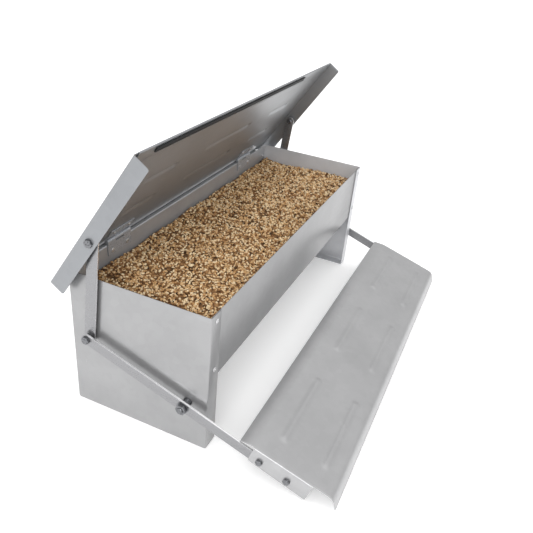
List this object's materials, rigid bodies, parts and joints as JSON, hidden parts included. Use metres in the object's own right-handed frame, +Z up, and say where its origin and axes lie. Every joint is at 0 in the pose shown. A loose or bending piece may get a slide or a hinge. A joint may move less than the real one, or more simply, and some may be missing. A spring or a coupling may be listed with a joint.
{
  "type": "treadle poultry feeder",
  "caption": "Low folded sheet-metal feed trough with a sloping floor and a hinged lid that a wide foot pedal lifts through side arms and links.",
  "frame": {"origin": "on the ground, under the middle of the whole feeder's footprint with the lid open and the pedal down", "axes": "+Z up, +X to the left side of someone standing behind the lid and looking over it to the pedal, -Y towards the pedal"},
  "size_m": [0.6204, 0.3981, 0.3789],
  "materials": {
    "box_sheet": "galvanised sheet, satin",
    "lid_sheet": "galvanised sheet, satin",
    "pedal_sheet": "galvanised sheet, satin, pressed beads",
    "flat_bar": "zinc-plated flat bar",
    "hinge_leaf": "zinc-plated stamped steel",
    "fastener": "zinc-plated",
    "seal_rubber": "matte black rubber strip"
  },
  "bodies": {
    "treadle": {"arm_left": "flat_bar", "arm_right": "flat_bar", "link_bolt_lower_left": "fastener", "link_bolt_lower_right": "fastener", "link_nut_lower_left": "fastener", "link_nut_lower_right": "fastener", "link_spacer_left": "fastener", "link_spacer_right": "fastener", "pedal_bolt_left_front": "fastener", "pedal_bolt_left_rear": "fastener", "pedal_bolt_right_front": "fastener", "pedal_bolt_right_rear": "fastener", "pedal_nut_left_front": "fastener", "pedal_nut_left_rear": "fastener", "pedal_nut_right_front": "fastener", "pedal_nut_right_rear": "fastener", "pedal_plate": "pedal_sheet"},
    "feed_box": {"back_panel": "box_sheet", "front_rivet_left_lower": "fastener", "front_rivet_left_upper": "fastener", "front_rivet_right_lower": "fastener", "front_rivet_right_upper": "fastener", "front_wall_and_floor": "box_sheet", "hinge_leaf_back_left": "hinge_leaf", "hinge_leaf_back_right": "hinge_leaf", "hinge_pin_left": "fastener", "hinge_pin_right": "fastener", "hinge_rivet_back_left_a": "fastener", "hinge_rivet_back_left_b": "fastener", "hinge_rivet_back_right_a": "fastener", "hinge_rivet_back_right_b": "fastener", "pivot_bolt_left": "fastener", "pivot_bolt_right": "fastener", "pivot_nut_left": "fastener", "pivot_nut_right": "fastener", "pivot_spacer_left": "fastener", "pivot_spacer_right": "fastener", "pivot_washer_left": "fastener", "pivot_washer_right": "fastener", "rear_rivet_left_lower": "fastener", "rear_rivet_left_upper": "fastener", "rear_rivet_right_lower": "fastener", "rear_rivet_right_upper": "fastener", "side_panel_left": "box_sheet", "side_panel_right": "box_sheet"},
    "lid": {"hinge_leaf_lid_left": "hinge_leaf", "hinge_leaf_lid_right": "hinge_leaf", "hinge_rivet_lid_left_a": "fastener", "hinge_rivet_lid_left_b": "fastener", "hinge_rivet_lid_right_a": "fastener", "hinge_rivet_lid_right_b": "fastener", "lid_seal_strip": "seal_rubber", "lid_shell": "lid_sheet", "link_bolt_upper_left": "fastener", "link_bolt_upper_right": "fastener"},
    "left_link": {"link_left": "flat_bar", "link_stud_upper_left": "fastener"},
    "right_link": {"link_right": "flat_bar", "link_stud_upper_right": "fastener"}
  },
  "joints": [
    {"name": "treadle", "type": "hinge", "parent": "feed_box", "child": "treadle", "pos_m": [0, 0.00937, 0.07], "axis": [1, 0, 0], "range_deg": [-21.58, 0]},
    {"name": "lid_hinge", "type": "hinge", "parent": "feed_box", "child": "lid", "pos_m": [0, 0.18147, 0.2076], "axis": [1, 0, 0], "range_deg": [0, 57.3]},
    {"name": "left_link_pivot", "type": "hinge", "parent": "treadle", "child": "left_link", "pos_m": [0, 0.15059, 0.11753], "axis": [1, 0, 0], "range_deg": [0, 34.11]},
    {"name": "right_link_pivot", "type": "hinge", "parent": "treadle", "child": "right_link", "pos_m": [0, 0.15059, 0.11753], "axis": [1, 0, 0], "range_deg": [0, 34.11]}
  ],
  "couplings": [
    {"joint": "lid_hinge", "follows": "treadle", "ratio": -2.6505},
    {"joint": "left_link_pivot", "follows": "treadle", "ratio": -1.5761},
    {"joint": "right_link_pivot", "follows": "treadle", "ratio": -1.5761}
  ]
}
